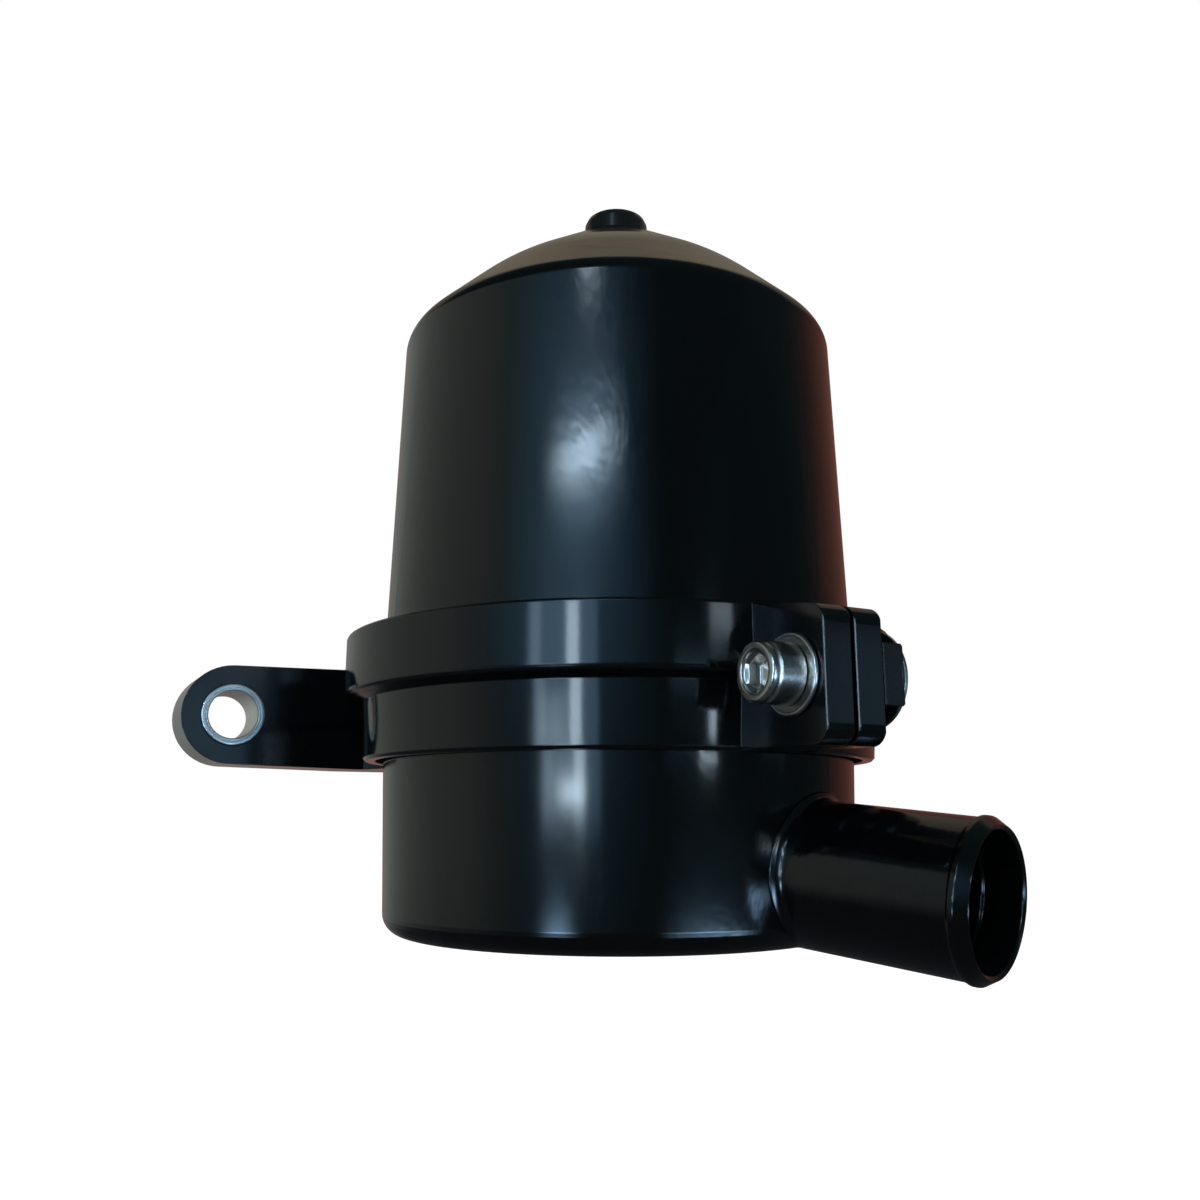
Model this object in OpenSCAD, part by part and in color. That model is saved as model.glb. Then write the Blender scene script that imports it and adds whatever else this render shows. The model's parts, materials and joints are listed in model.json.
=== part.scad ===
// Oil reservoir: a bell and a bowl held together by a split clamp ring that
// also carries the mounting plate. Millimetres, +Z up.
// Origin: middle of the mounting plate's back face. The vessel's axis is
// parallel to Z, in front of the plate at y = -mount_to_axis.

/* [Vessel] */
// Outside diameter of the vessel at the joint
vessel_d = 98; // [96:0.5:102]
// Wall of bell and bowl
wall = 3; // [2.5:0.1:3.6]
// Height of the bell's shoulder above the joint
shoulder_h = 72.5; // [68:0.5:90]
// Draft angle of the bell
bell_draft = 1.75; // [0.5:0.05:2]
// Draft angle of the bowl
bowl_draft = 1.85; // [0.5:0.05:2.5]
// Depth of the bowl below the ring's lower edge
bowl_depth = 33.5; // [32:0.5:50]
// Outside corner radius of the bowl
bowl_corner_r = 4.2; // [4:0.1:8]
// Outside radius between wall and crown
shoulder_r = 4.5; // [4:0.1:8]
// Rise of the crown from the shoulder to the neck
crown_rise = 29; // [26:0.1:34]
// Height above the shoulder where the crown becomes flatter
crown_bend_h = 13.8; // [12:0.1:15]
// Radius where the crown becomes flatter
crown_bend_r = 32.2; // [30:0.1:34]
// Radius of the flat seat on top of the crown
neck_r = 9.4; // [9:0.1:11]
// Width of the joint flanges, past the vessel's wall
flange_w = 4.5; // [4:0.1:5]
// Thickness of each flange at its outer edge
flange_t = 2.4; // [2:0.1:2.6]
// Angle of the flange flanks
flank_angle = 20; // [15:1:22]
// Section diameter of the joint's sealing ring
o_ring_d = 2; // [1.6:0.1:2.2]

/* [Clamp ring] */
// Height of the ring
ring_h = 24.4; // [23.6:0.2:28]
// Depth of the joint below the ring's top
joint_drop = 7; // [6.6:0.1:7.4]
// Wall of the ring outside the flanges
rim_wall = 2.7; // [2.2:0.1:3.4]
// How far the lower band stands in from the rim
rim_step = 3.8; // [3:0.1:4.2]
// Height of the lower band
band_h = 11.6; // [10:0.2:12]
// Height of the cove between band and rim
cove_h = 1.4; // [1:0.1:1.6]
// How much wider the lower band is at its top
band_taper = 0.7; // [0:0.1:0.8]
// Gap between the ring's lower edge and the bowl
lip_gap = 1.1; // [0.8:0.1:1.4]
// Gap between the two clamp ears
split_gap = 0.8; // [0.6:0.1:1.6]

/* [Clamp ears and bolt] */
// Length of the ears past the rim
ear_length = 17.3; // [16:0.1:22]
// Thickness of each ear
ear_t = 5.5; // [4.5:0.05:7]
// Slope of the ears' top edge
ear_slope = 10.4; // [0:0.1:12]
// Corner radius of the ears
ear_corner_r = 3.2; // [2:0.1:5]
// Distance of the bolt from the ears' outer end
bolt_setback = 7.9; // [7:0.1:9]
// Height of the bolt above the ring's lower edge
bolt_z = 11; // [10.5:0.1:12]
// Thread diameter of the clamp bolt
bolt_d = 6; // [5:0.5:7]
// Head diameter of the clamp bolt
head_d = 10; // [9:0.5:12]
// Head height of the clamp bolt
head_h = 6.5; // [5:0.1:8]
// Hexagon socket width of the clamp bolt
socket_af = 5; // [4:0.5:6]
// Hexagon socket depth
socket_depth = 3.2; // [2.5:0.1:4]
// Diameter of the washer under the bolt head
washer_d = 13.4; // [12.5:0.1:15]
// Thickness of the washer under the bolt head
washer_t = 0.9; // [0.8:0.1:2]
// Height of the bar nut
nut_h = 9.9; // [9:0.1:12]
// Thickness of the bar nut
nut_t = 4.1; // [4:0.1:6]
// Diameter of the lock washer outside the nut
lock_washer_d = 16.4; // [14:0.2:18]
// Thickness of the lock washer
lock_washer_t = 0.6; // [0.5:0.1:2]
// Length of bolt that shows past the lock washer
bolt_tip = 0.8; // [0.5:0.1:3]

/* [Mounting plate] */
// Gap between the ring's rim and the front of the plate
plate_gap = 3.4; // [3:0.1:12]
// Thickness of the plate
plate_t = 15; // [13:0.5:17]
// How far the plate's top lies below the ring's top
plate_drop = 0.1; // [0.1:0.1:0.8]
// How far the plate's foot lies above the ring's lower edge
plate_foot = 0.3; // [0:0.1:0.8]
// Distance between the two bushes
bush_pitch = 136; // [132:1:150]
// How much the plate narrows toward its rounded ends
plate_narrow = 0.6; // [0:0.1:1.2]
// Outer diameter of the bushes
bush_d = 14.2; // [13:0.1:16]
// Hole through the bushes
bush_hole_d = 11; // [8.5:0.1:11.5]
// How far each bush stands proud of the plate's front face
bush_proud = 0.4; // [0.2:0.1:1]

/* [Outlet] */
// Outside diameter of the outlet tube
outlet_d = 26.1; // [22:0.1:26.5]
// Wall of the outlet tube
outlet_wall = 2.4; // [2:0.1:3.4]
// How far the bead stands out of the tube
bead_rise = 0.4; // [0.3:0.1:1.2]
// Length of the bead's land
bead_land = 0.8; // [0.6:0.1:3]
// Length of the outlet past the vessel's wall
outlet_length = 30.5; // [26:0.1:50]
// Height of the outlet above the bowl's floor, at the vessel's axis
outlet_rise = 17.3; // [17:0.1:19]
// Slope of the outlet below the horizontal
outlet_slope = 5.8; // [5:0.1:6.5]
// Direction of the outlet, turned from the ears
outlet_turn = 20.4; // [20:0.1:40]

/* [Vent cap] */
// Diameter of the vent cap
cap_d = 14.8; // [14:0.1:16]
// Height of the vent cap
cap_h = 6.3; // [5:0.1:9]
// Diameter of the cap's stem
cap_stem_d = 8; // [7:0.1:9]
// Length of the cap's stem
cap_stem_h = 9; // [6:0.5:10]

/* [Filter element] */
// Outer diameter of the filter's end plates
filter_d = 58; // [50:1:64]
// Height of the pleated pack
pleat_h = 88; // [60:1:90]
// Number of pleats
pleat_count = 36; // [24:1:40]
// Thickness of the pleated sheet
pleat_t = 0.9; // [0.7:0.1:1.2]
// Outside diameter of the perforated core
core_d = 26; // [24:0.5:30]
// Wall of the perforated core
core_wall = 1; // [0.8:0.1:1.5]
// Thickness of the end plates
end_plate_t = 2; // [1.5:0.1:3]
// Outside diameter of the return standpipe
standpipe_d = 15; // [14:0.1:15.4]
// Wall of the return standpipe
standpipe_wall = 1.8; // [1.2:0.1:2.2]
// Length of the standpipe inside the element
standpipe_rise = 10; // [6:1:16]
// Tapping diameter of the return port
port_d = 16.4; // [16.3:0.1:17]
// Depth of the return port
port_depth = 9; // [8:0.5:10]
// Mean radius of the spring above the element
element_spring_r = 15; // [14:0.5:16]
// Lift of the bypass valve
bypass_lift = 3; // [1:0.5:3]

/* [Hidden] */
$fn = 96;

// Clearances
seat_gap = 0.05;      // between pieces that seat on each other
running_gap = 0.05;   // radial, at parts that turn or slide
flank_gap = 0.08;     // between the ring's flanks and the flanges
bolt_hole_gap = 0.3;  // radial, around the clamp bolt
cut = 1;              // how far a cutter runs past a face

// Vessel and its joint
joint_z = ring_h - joint_drop;
vessel_r = vessel_d / 2;
flange_r = vessel_r + flange_w;
flank_h = flange_w * tan(flank_angle);
bore_r = vessel_r - wall;

// Ring
groove_r = flange_r + 0.4;
rim_r = groove_r + rim_wall;
band_r = rim_r - rim_step;
lip_bore_r = vessel_r + lip_gap;
neck_bore_r = vessel_r + 0.45;
rim_z = band_h + cove_h;
edge = 0.5;           // small bevel on the ring's edges

// Ears
ear_reach = rim_r + ear_length;
bolt_offset = ear_reach - bolt_setback;
ear_face_x = split_gap / 2 + ear_t;
ear_root_y = groove_r + 0.6;
ear_top_y = rim_r - edge;
ear_tip_z = ring_h - (ear_reach - ear_top_y) * tan(ear_slope);
ear_dip = 0.3;        // how far the ears' lower edge falls toward the end
ear_edge = 0.3;       // small bevel on the ears' outer ends

// Plate
plate_h = ring_h - plate_drop - plate_foot;
plate_end_r = plate_h / 2 - plate_narrow;
plate_front = rim_r + plate_gap;
mount_to_axis = plate_front + plate_t;
plate_mid_z = plate_foot + plate_h / 2;
plate_root_x = 40;
pad_half_w = 32;
pad_spread = 5;

// Vessel
function bell_r(z) = vessel_r - (z - joint_z) * tan(bell_draft);
function bowl_r(z) = vessel_r - (joint_z - z) * tan(bowl_draft);
shoulder_z = joint_z + shoulder_h;
shoulder_wall_r = bell_r(shoulder_z);
neck_z = shoulder_z + crown_rise;

// Arc that rounds the corner p between a and b, moved outward by grow
function unit(v) = v / norm(v);
function short_way(from, to) = from + (to - from + 540) % 360 - 180;
function rounded(a, p, b, r, grow, steps) =
    let (u = unit(a - p), v = unit(b - p), half = acos(u * v) / 2,
         c = p + unit(u + v) * r / sin(half),
         t0 = p + u * r / tan(half) - c, t1 = p + v * r / tan(half) - c,
         a0 = atan2(t0[1], t0[0]), a1 = short_way(a0, atan2(t1[1], t1[0])))
    [for (i = [0:steps]) let (w = a0 + (a1 - a0) * i / steps) c + (r + grow) * [cos(w), sin(w)]];

// Corners of the bell's outline above the joint
bell_foot = [vessel_r, joint_z];
shoulder = [shoulder_wall_r, shoulder_z];
crown_bend = [crown_bend_r, shoulder_z + crown_bend_h];
neck = [neck_r, neck_z];
crown_bend_round = 60;
function crown_outline(grow) = concat(
    rounded(bell_foot, shoulder, crown_bend, shoulder_r, grow, 8),
    rounded(shoulder, crown_bend, neck, crown_bend_round, grow, 6));
function bowl_outline(grow) = rounded([0, -bowl_depth], [bowl_r(-bowl_depth), -bowl_depth],
    [bowl_r(0), 0], bowl_corner_r, grow, 8);

// Vent
cap_seat_z = neck_z;
stem_bore_r = cap_stem_d / 2 + running_gap;
cap_seal_t = 1.2;
seal_r = (cap_stem_d + cap_d) / 4;
breather_r = 2.4;
vent_z = 2.6;         // height of the cross hole above the cap's seat
vent_turn = 60;
vent_pocket_r = 12;
vent_pocket_z = neck_z - cap_stem_h + 0.6;
spring_seat_h = 12;   // above the shoulder
spring_seat_z = shoulder_z + spring_seat_h;
spring_seat_r = 19;

// Filter stack, from the floor up
floor_z = wall - bowl_depth;
socket_r = standpipe_d / 2 + seat_gap;
socket_floor_z = port_depth - bowl_depth;
boss_top_z = socket_floor_z + 8;
boss_r = port_d / 2 + 5;
collar_z = boss_top_z + seat_gap;
collar_t = 2;
lower_plate_z = collar_z + collar_t;
pleat_z0 = lower_plate_z + end_plate_t;
pleat_z1 = pleat_z0 + pleat_h;
upper_plate_z = pleat_z1;
upper_top_z = upper_plate_z + end_plate_t;
skirt_h = 3;          // rim of the end plates
skirt_t = 1;
pleat_out_r = filter_d / 2 - skirt_t - 0.5;
pleat_in_r = core_d / 2 + 1;
bypass_hole_r = 4.5;
poppet_r = 6.2;
poppet_t = 1.4;
poppet_stem_r = 1.8;
cage_r = 9.6;
cage_h = 11;
cage_t = 1;
cage_slot_w = 5;
cage_slot_z = 2;
element_wire_r = 0.9;

module at_mount() translate([0, -mount_to_axis, -plate_mid_z]) children();
module turned(points) rotate_extrude() polygon(points);
module along_outlet() rotate([0, 0, outlet_turn]) translate([0, 0, outlet_z])
    rotate([90 + outlet_slope, 0, 0]) children();
module along_bolt() translate([0, -bolt_offset, bolt_z]) rotate([0, 90, 0]) children();
module ring_of(ro, ri, z0, z1) translate([0, 0, z0]) difference() {
    cylinder(r = ro, h = z1 - z0);
    translate([0, 0, -cut]) cylinder(r = ri, h = z1 - z0 + 2 * cut);
}

// ---- Vessel ----

module bell_outer() turned(concat(
    [[0, joint_z], [flange_r, joint_z], [flange_r, joint_z + flange_t],
     [bell_r(joint_z + flange_t + flank_h), joint_z + flange_t + flank_h]],
    crown_outline(0), [neck, [0, neck_z]]));

module bell_inner() difference() {
    turned(concat([[0, joint_z - cut], [bore_r, joint_z - cut]], crown_outline(-wall),
                  [[neck_r, neck_z - wall], [0, neck_z - wall]]));
    translate([0, 0, spring_seat_z]) cylinder(r = spring_seat_r, h = crown_rise);
}

module upper_housing() color([0.08, 0.10, 0.12]) at_mount() difference() {
    bell_outer();
    bell_inner();
    translate([0, 0, spring_seat_z - cut]) cylinder(r = stem_bore_r, h = crown_rise + cut);
    translate([0, 0, spring_seat_z - cut])
        cylinder(r = vent_pocket_r, h = vent_pocket_z - spring_seat_z + cut);
}

module bowl_outer(grow = 0) turned(concat(
    [[0, -bowl_depth - grow]], bowl_outline(grow),
    [[bowl_r(joint_z - flange_t - flank_h) + grow, joint_z - flange_t - flank_h],
     [flange_r, joint_z - flange_t], [flange_r, joint_z], [0, joint_z]]));

module bowl_inner() turned(concat([[0, floor_z]], bowl_outline(-wall),
    [[bore_r, joint_z], [bore_r, joint_z + cut], [0, joint_z + cut]]));

module lower_housing() color([0.08, 0.10, 0.12]) at_mount() difference() {
    bowl_outer();
    difference() {
        bowl_inner();
        translate([0, 0, floor_z - cut]) cylinder(r = boss_r, h = boss_top_z - floor_z + cut);
    }
    translate([0, 0, -bowl_depth - cut]) cylinder(d = port_d, h = port_depth + cut);
    translate([0, 0, -bowl_depth]) cylinder(r = socket_r, h = bowl_depth + joint_z);
    ring_of(o_ring_r + o_ring_d * 0.75, o_ring_r - o_ring_d * 0.75, joint_z - o_ring_d, joint_z + cut);
    along_outlet() translate([0, 0, bore_r - wall]) cylinder(d = outlet_bore_d, h = 4 * wall);
}

o_ring_r = (bore_r + flange_r) / 2;

module joint_o_ring() color([0.05, 0.05, 0.05]) at_mount()
    translate([0, 0, joint_z - o_ring_d / 2]) rotate_extrude()
        translate([o_ring_r, 0]) circle(d = o_ring_d - seat_gap, $fn = 32);

// ---- Outlet ----

outlet_z = outlet_rise - bowl_depth;
outlet_bore_d = outlet_d - 2 * outlet_wall;
outlet_reach = vessel_r + outlet_length;
lip_cone = 2.1;       // length of the cone between bead and mouth
bead_flank = 0.6;     // length of the slope behind the bead
bead_end = outlet_reach - lip_cone;
bead_start = bead_end - bead_land;
bead_r = outlet_d / 2 + bead_rise;
mouth_r = outlet_d / 2 - 0.95;
counterbore_r = outlet_bore_d / 2 + 0.7;
counterbore_depth = 7.1;
mouth_dish = 0.45;    // how far the counterbore's edge lies behind the mouth

module outlet_spigot() color([0.08, 0.10, 0.12]) at_mount() difference() {
    along_outlet() turned([
        [outlet_bore_d / 2, vessel_r * 0.5], [outlet_d / 2, vessel_r * 0.5],
        [outlet_d / 2, bead_start - bead_flank], [bead_r - 0.1, bead_start - bead_flank * 0.3],
        [bead_r, bead_start], [bead_r, bead_end],
        [mouth_r + 0.1, outlet_reach - 0.15], [mouth_r - 0.1, outlet_reach],
        [counterbore_r, outlet_reach - mouth_dish],
        [counterbore_r, outlet_reach - counterbore_depth],
        [outlet_bore_d / 2, outlet_reach - counterbore_depth]]);
    bowl_outer(grow = seat_gap);
}

// ---- Clamp ring ----

// The ring's outside from the top of the band to the rim
cove_line = [
    [band_r + band_taper / 2, band_h],
    [band_r + rim_step * 0.25, band_h + cove_h * 0.15],
    [band_r + rim_step * 0.6, band_h + cove_h * 0.5],
    [rim_r - edge, band_h + cove_h * 0.7], [rim_r - edge * 0.15, rim_z],
    [rim_r, rim_z + edge]];

// Half-section of the ring, bottom to top on the outside, then down the groove
module ring_section() polygon(concat(
    [[lip_bore_r, 0], [band_r - band_taper / 2 - edge, 0], [band_r - band_taper / 2, edge]],
    cove_line,
    [[rim_r, ring_h - edge], [rim_r - edge * 0.3, ring_h - edge * 0.3], [rim_r - edge, ring_h],
     [neck_bore_r, ring_h],
     [neck_bore_r, joint_z + flange_t + flank_h + flank_gap],
     [groove_r, joint_z + flange_t + flank_gap - (groove_r - flange_r) * tan(flank_angle)],
     [groove_r, joint_z - flange_t - flank_gap + (groove_r - flange_r) * tan(flank_angle)],
     [lip_bore_r, joint_z - flange_t - flank_gap - (flange_r - lip_bore_r) * tan(flank_angle)]]));

ear_corners = [[-ear_root_y, 0], [-ear_reach, -ear_dip], [-ear_reach, ear_tip_z],
               [-ear_top_y, ring_h], [-ear_root_y, ring_h]];
module ear_side() polygon(concat([ear_corners[0]],
    rounded(ear_corners[0], ear_corners[1], ear_corners[2], ear_corner_r, 0, 10),
    rounded(ear_corners[1], ear_corners[2], ear_corners[3], ear_corner_r, 0, 10),
    [ear_corners[3], ear_corners[4]]));
module ear() difference() {
    rotate([90, 0, 90]) translate([0, 0, split_gap / 2]) linear_extrude(ear_t) ear_side();
    for (x = [split_gap / 2, ear_face_x]) translate([x, -ear_reach, -ear_dip - cut])
        rotate([0, 0, 45]) translate([-ear_edge, -ear_edge, 0] / 2) cube([ear_edge, ear_edge, ring_h]);
}

// The web that closes the ear against the band, below the groove
module ear_web() rotate([90, 0, 90]) translate([0, 0, split_gap / 2]) linear_extrude(ear_t)
    translate([-groove_r - 1, 0]) square([groove_r + 1 - lip_bore_r - 0.6, rim_z - 1]);

module plate_outline() {
    end_x = bush_pitch / 2;
    lean = asin((plate_h / 2 - plate_end_r) / (end_x - plate_root_x));
    for (side = [-1, 1]) translate([side * end_x, plate_mid_z]) circle(r = plate_end_r);
    polygon([for (side = [1, -1], p = [
        [plate_root_x, plate_foot],
        [end_x + plate_end_r * sin(lean), plate_mid_z - plate_end_r * cos(lean)],
        [end_x + plate_end_r * sin(lean), plate_mid_z + plate_end_r * cos(lean)],
        [plate_root_x, plate_foot + plate_h]])
        side > 0 ? p : [-p[0], 2 * plate_mid_z - p[1]]]);
}

module mounting_plate() translate([0, mount_to_axis, 0]) rotate([90, 0, 0])
    linear_extrude(plate_t) plate_outline();

module pad() translate([0, 0, plate_foot]) linear_extrude(plate_h)
    polygon([[-pad_half_w - pad_spread, plate_front + cut], [-pad_half_w, band_r * 0.8],
             [pad_half_w, band_r * 0.8], [pad_half_w + pad_spread, plate_front + cut]]);

module clamp_ring() color([0.07, 0.08, 0.10]) at_mount() difference() {
    union() {
        difference() {
            union() {
                rotate_extrude() ring_section();
                difference() {
                    pad();
                    translate([0, 0, -cut]) cylinder(r = groove_r + 0.6, h = ring_h + 2 * cut);
                }
                difference() {
                    intersection() {
                        pad();
                        translate([0, 0, -cut]) cylinder(r = groove_r + 1, h = rim_z - 1 + cut);
                    }
                    translate([0, 0, -cut]) cylinder(r = lip_bore_r + 0.6, h = ring_h + 2 * cut);
                }
            }
            translate([-split_gap / 2, -rim_r - cut, -cut])
                cube([split_gap, rim_r + cut - bore_r, ring_h + 2 * cut]);
        }
        for (m = [0, 1]) mirror([m, 0, 0]) {
            ear();
            ear_web();
        }
        mounting_plate();
    }
    along_bolt() cylinder(r = bolt_d / 2 + bolt_hole_gap, h = 4 * ear_face_x, center = true);
    for (side = [-1, 1]) bush_place(side) translate([0, 0, -cut])
        cylinder(d = bush_d + 2 * seat_gap, h = plate_t + 2 * cut);
}

// ---- Bushes ----

module bush_place(side) translate([side * bush_pitch / 2, mount_to_axis, plate_mid_z])
    rotate([90, 0, 0]) children();

module mount_bush(side) color([0.75, 0.76, 0.78]) at_mount() bush_place(side) turned([
    [bush_hole_d / 2, 0.3], [bush_hole_d / 2 + 0.3, 0], [bush_d / 2, 0],
    [bush_d / 2, plate_t + bush_proud - 0.2], [bush_d / 2 - 0.2, plate_t + bush_proud],
    [bush_hole_d / 2 + 0.4, plate_t + bush_proud], [bush_hole_d / 2, plate_t + bush_proud - 0.4]]);

module mount_bush_left() mount_bush(-1);
module mount_bush_right() mount_bush(1);

// ---- Bolt set ----

head_x = -ear_face_x - washer_t;
head_end_x = head_x - head_h;
nut_end_x = ear_face_x + nut_t;
bolt_end_x = nut_end_x + lock_washer_t + bolt_tip;

module clamp_bolt() color([0.72, 0.73, 0.75]) at_mount() along_bolt() difference() {
    turned([[0, head_end_x], [head_d / 2 - 1.1, head_end_x], [head_d / 2 - 0.45, head_end_x + 0.2],
            [head_d / 2 - 0.1, head_end_x + 0.6], [head_d / 2, head_end_x + 1.2],
            [head_d / 2, head_x - seat_gap], [bolt_d / 2, head_x - seat_gap],
            [bolt_d / 2, bolt_end_x - 0.6], [bolt_d / 2 - 0.6, bolt_end_x], [0, bolt_end_x]]);
    translate([0, 0, head_end_x - cut])
        cylinder(d = socket_af / cos(30), h = socket_depth + cut, $fn = 6);
}

module washer(d, x0, x1) along_bolt() ring_of(d / 2, bolt_d / 2 + bolt_hole_gap, x0, x1);

module head_washer() color([0.78, 0.78, 0.80]) at_mount()
    washer(washer_d, head_x, -ear_face_x - seat_gap);
module lock_washer() color([0.70, 0.70, 0.70]) at_mount()
    washer(lock_washer_d, nut_end_x + seat_gap, nut_end_x + lock_washer_t);

module clamp_nut() color([0.08, 0.08, 0.09]) at_mount() along_bolt() difference() {
    translate([-nut_h / 2, -bolt_setback, ear_face_x + seat_gap])
        cube([nut_h, 2 * bolt_setback, nut_t - seat_gap]);
    for (side = [-1, 1]) translate([side * nut_h / 2, 0, nut_end_x]) rotate([0, 45, 0])
        cube([edge, 2 * bolt_setback + cut, edge], center = true);
    translate([0, 0, ear_face_x - cut]) cylinder(r = bolt_d / 2 + running_gap, h = nut_t + 2 * cut);
}

// ---- Vent cap ----

module vent_cap() color([0.04, 0.04, 0.05]) at_mount() difference() {
    translate([0, 0, cap_seat_z]) turned([
        [0, -cap_stem_h], [cap_stem_d / 2 - 0.6, -cap_stem_h], [cap_stem_d / 2, 0.6 - cap_stem_h],
        [cap_stem_d / 2, seat_gap], [cap_d / 2 - 0.2, seat_gap], [cap_d / 2, 0.5],
        [cap_d / 2 - 0.25, cap_h - 1.8], [cap_d / 2 - 0.75, cap_h - 0.7], [cap_d / 2 - 1.9, cap_h],
        [0, cap_h]]);
    translate([0, 0, cap_seat_z - cap_stem_h - cut])
        cylinder(r = breather_r, h = cap_stem_h + cut + vent_z + 0.6);
    ring_of(seal_r + cap_seal_t * 0.7, seal_r - cap_seal_t * 0.7,
            cap_seat_z - cut, cap_seat_z + cap_seal_t);
    translate([0, 0, cap_seat_z + vent_z]) rotate([90, 0, vent_turn])
        cylinder(d = 1.2, h = cap_d + 2, center = true, $fn = 24);
}

module vent_cap_seal() color([0.05, 0.05, 0.05]) at_mount()
    translate([0, 0, cap_seat_z + cap_seal_t / 2]) rotate_extrude()
        translate([seal_r, 0]) circle(d = cap_seal_t - 2 * seat_gap, $fn = 24);

module breather_disc() color([0.62, 0.52, 0.34]) at_mount()
    translate([0, 0, cap_seat_z - cap_stem_h + 1]) cylinder(r = breather_r - seat_gap, h = 4);

// ---- Filter element ----

module return_standpipe() color([0.70, 0.71, 0.73]) at_mount() turned([
    [standpipe_d / 2 - standpipe_wall, socket_floor_z], [standpipe_d / 2, socket_floor_z],
    [standpipe_d / 2, collar_z], [standpipe_d / 2 + 3, collar_z], [standpipe_d / 2 + 3, lower_plate_z],
    [standpipe_d / 2, lower_plate_z], [standpipe_d / 2, pleat_z0 + standpipe_rise],
    [standpipe_d / 2 - standpipe_wall, pleat_z0 + standpipe_rise]]);

seal_groove_r = standpipe_d / 2 + 2.4;

module filter_lower_plate() color([0.72, 0.62, 0.40]) at_mount() union() {
    ring_of(filter_d / 2, seal_groove_r, lower_plate_z + seat_gap, pleat_z0);
    ring_of(filter_d / 2, filter_d / 2 - skirt_t, lower_plate_z + seat_gap, pleat_z0 + skirt_h);
}

module standpipe_seal() color([0.05, 0.05, 0.05]) at_mount()
    ring_of(seal_groove_r - seat_gap, standpipe_d / 2 + seat_gap,
            lower_plate_z + seat_gap, lower_plate_z + end_plate_t);

module filter_upper_plate() color([0.72, 0.62, 0.40]) at_mount() union() {
    ring_of(filter_d / 2, bypass_hole_r, upper_plate_z, upper_top_z);
    ring_of(filter_d / 2, filter_d / 2 - skirt_t, upper_plate_z - skirt_h, upper_top_z);
}

module filter_core() color([0.66, 0.67, 0.70]) at_mount() difference() {
    ring_of(core_d / 2, core_d / 2 - core_wall, pleat_z0 + seat_gap, pleat_z1 - seat_gap);
    for (row = [1:6], turn = [0:2]) translate([0, 0, pleat_z0 + row * pleat_h / 7])
        rotate([90, 0, turn * 60 + (row % 2) * 30])
            cylinder(d = 6, h = core_d + 2, center = true, $fn = 32);
}

// One closed pleated sheet: out along one face and back along the other
module pleat_ring(half_t) polygon([for (i = [0:2 * pleat_count - 1])
    let (a = i * 180 / pleat_count, r = (i % 2 == 0) ? pleat_out_r + half_t : pleat_in_r + half_t)
    [r * cos(a), r * sin(a)]]);

module filter_pleats() color([0.86, 0.80, 0.62]) at_mount()
    translate([0, 0, pleat_z0 + seat_gap]) linear_extrude(pleat_h - 2 * seat_gap) difference() {
        pleat_ring(pleat_t);
        pleat_ring(-pleat_t);
    }

// ---- Springs and bypass valve ----

// A round wire along a helix, with its two ends closed
module coil(mean_r, wire_r, turns, z0, z1) {
    steps = turns * 16;
    sides = 8;
    rise = z1 - z0 - 2 * wire_r;
    points = [for (i = [0:steps], j = [0:sides - 1])
        let (a = 360 * turns * i / steps, b = 360 * j / sides, r = mean_r + wire_r * cos(b))
        [r * cos(a), r * sin(a), z0 + wire_r + rise * i / steps + wire_r * sin(b)]];
    walls = [for (i = [0:steps - 1], j = [0:sides - 1])
        let (k = (j + 1) % sides)
        [i * sides + j, i * sides + k, (i + 1) * sides + k, (i + 1) * sides + j]];
    ends = [[for (j = [sides - 1:-1:0]) j], [for (j = [0:sides - 1]) steps * sides + j]];
    polyhedron(points = points, faces = concat(walls, ends));
}

module element_spring() color([0.60, 0.61, 0.63]) at_mount()
    coil(mean_r = element_spring_r, wire_r = element_wire_r, turns = 5, z0 = upper_top_z + seat_gap,
         z1 = spring_seat_z - seat_gap);

module bypass_poppet() color([0.78, 0.66, 0.32]) at_mount() translate([0, 0, upper_top_z]) turned([
    [0, -1.2], [bypass_hole_r - 1.4, -1.2], [bypass_hole_r - running_gap - 0.2, seat_gap],
    [poppet_r, seat_gap], [poppet_r, poppet_t], [poppet_stem_r, poppet_t],
    [poppet_stem_r, cage_h + 1], [0, cage_h + 1]]);

module bypass_spring() color([0.60, 0.61, 0.63]) at_mount()
    coil(mean_r = 3.6, wire_r = 0.4, turns = 5, z0 = upper_top_z + poppet_t + seat_gap,
         z1 = upper_top_z + cage_h - cage_t - seat_gap);

module bypass_cage() color([0.70, 0.71, 0.73]) at_mount() translate([0, 0, upper_top_z + seat_gap])
    difference() {
        cylinder(r = cage_r, h = cage_h - seat_gap);
        translate([0, 0, -cut]) cylinder(r = cage_r - cage_t, h = cage_h - cage_t - seat_gap + cut);
        cylinder(r = poppet_stem_r + running_gap, h = cage_h + cut);
        for (turn = [0, 60, 120]) rotate([0, 0, turn])
            translate([-cage_r - cut, -cage_slot_w / 2, cage_slot_z])
                cube([2 * (cage_r + cut), cage_slot_w, cage_h - 2.5 * cage_slot_z]);
    }

upper_housing();
lower_housing();
clamp_ring();
mount_bush_left();
mount_bush_right();
clamp_bolt();
head_washer();
clamp_nut();
lock_washer();
joint_o_ring();
outlet_spigot();
vent_cap();
vent_cap_seal();
breather_disc();
filter_core();
filter_pleats();
filter_lower_plate();
filter_upper_plate();
standpipe_seal();
return_standpipe();
element_spring();
bypass_poppet();
bypass_spring();
bypass_cage();
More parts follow.
